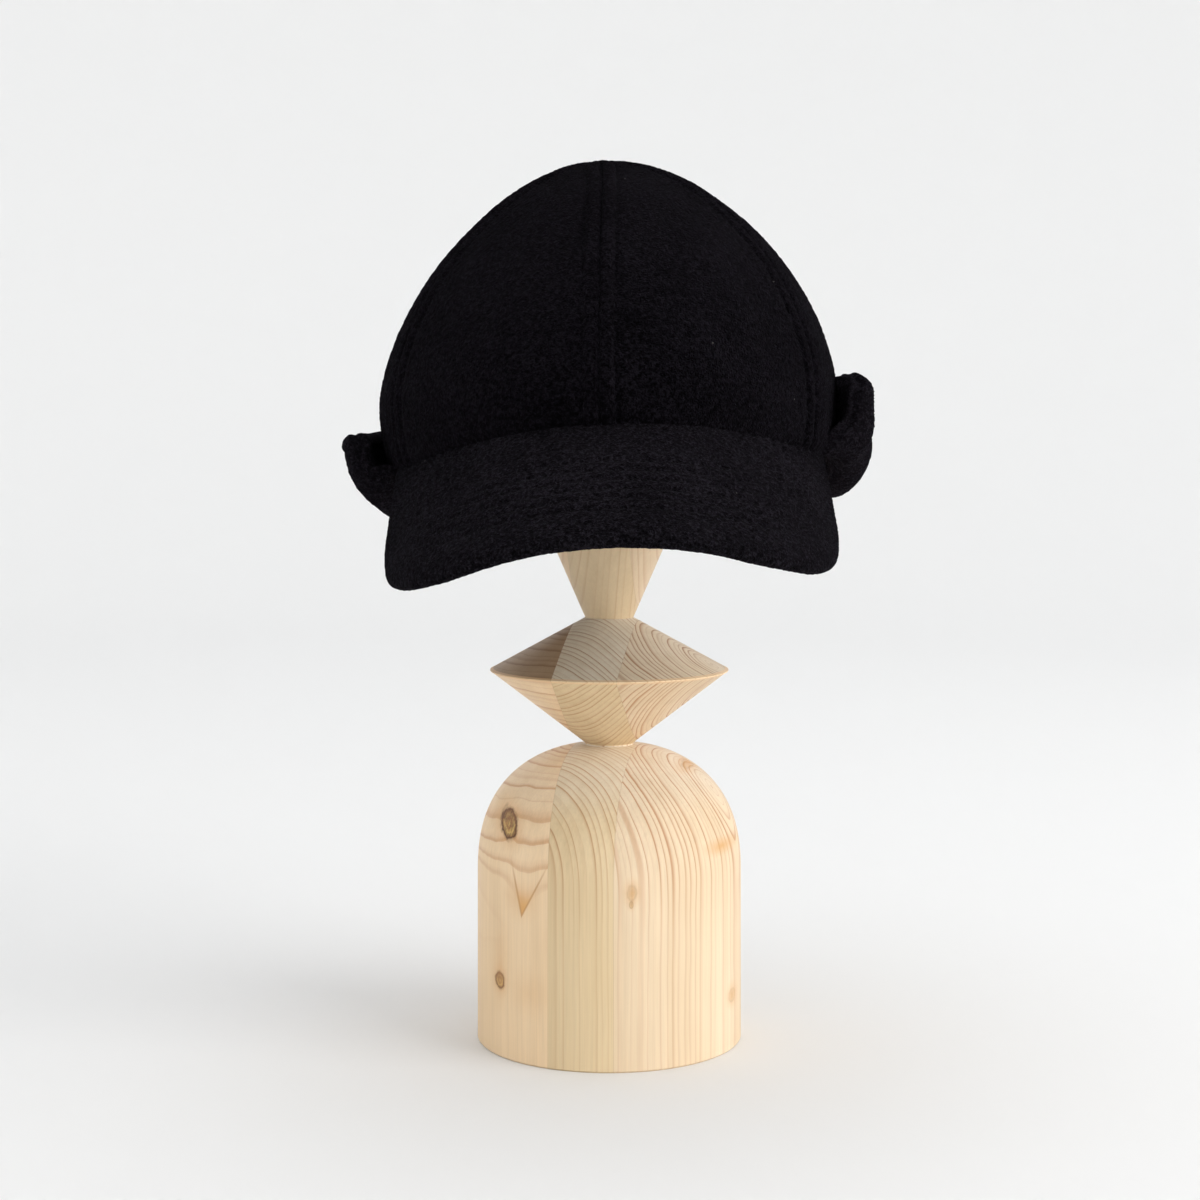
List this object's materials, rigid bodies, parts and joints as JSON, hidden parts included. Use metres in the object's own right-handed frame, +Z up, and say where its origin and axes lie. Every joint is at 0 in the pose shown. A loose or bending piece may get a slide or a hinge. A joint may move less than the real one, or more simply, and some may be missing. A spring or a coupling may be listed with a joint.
{
  "type": "earflap cap on a wooden hat stand",
  "caption": "Black wool cap with a panelled crown, a stitched peak and turned-up earflaps, standing on a turned pale wood hat stand.",
  "frame": {"origin": "centre of the stand's flat foot", "axes": "+Z up along the stand's axis, the peak points along -Y, +X to the viewer's right as seen from the front"},
  "size_m": [0.2038, 0.2777, 0.3318],
  "materials": {
    "crown_wool": "thick felted black wool, matt, with a faint violet sheen",
    "peak_wool": "the same black wool over a stiff board, with fuzzy edges",
    "flap_wool": "doubled black wool with padded edges",
    "stand_wood": "pale softwood in glued boards, turned and sanded to a satin"
  },
  "bodies": {
    "root": {"panel_front_left": "crown_wool", "panel_front_right": "crown_wool", "panel_side_left": "crown_wool", "panel_side_right": "crown_wool", "panel_back_left": "crown_wool", "panel_back_right": "crown_wool", "peak": "peak_wool", "ear_flap_left": "flap_wool", "ear_flap_right": "flap_wool", "stand_base": "stand_wood", "stand_double_cone": "stand_wood", "stand_head": "stand_wood"}
  },
  "joints": []
}
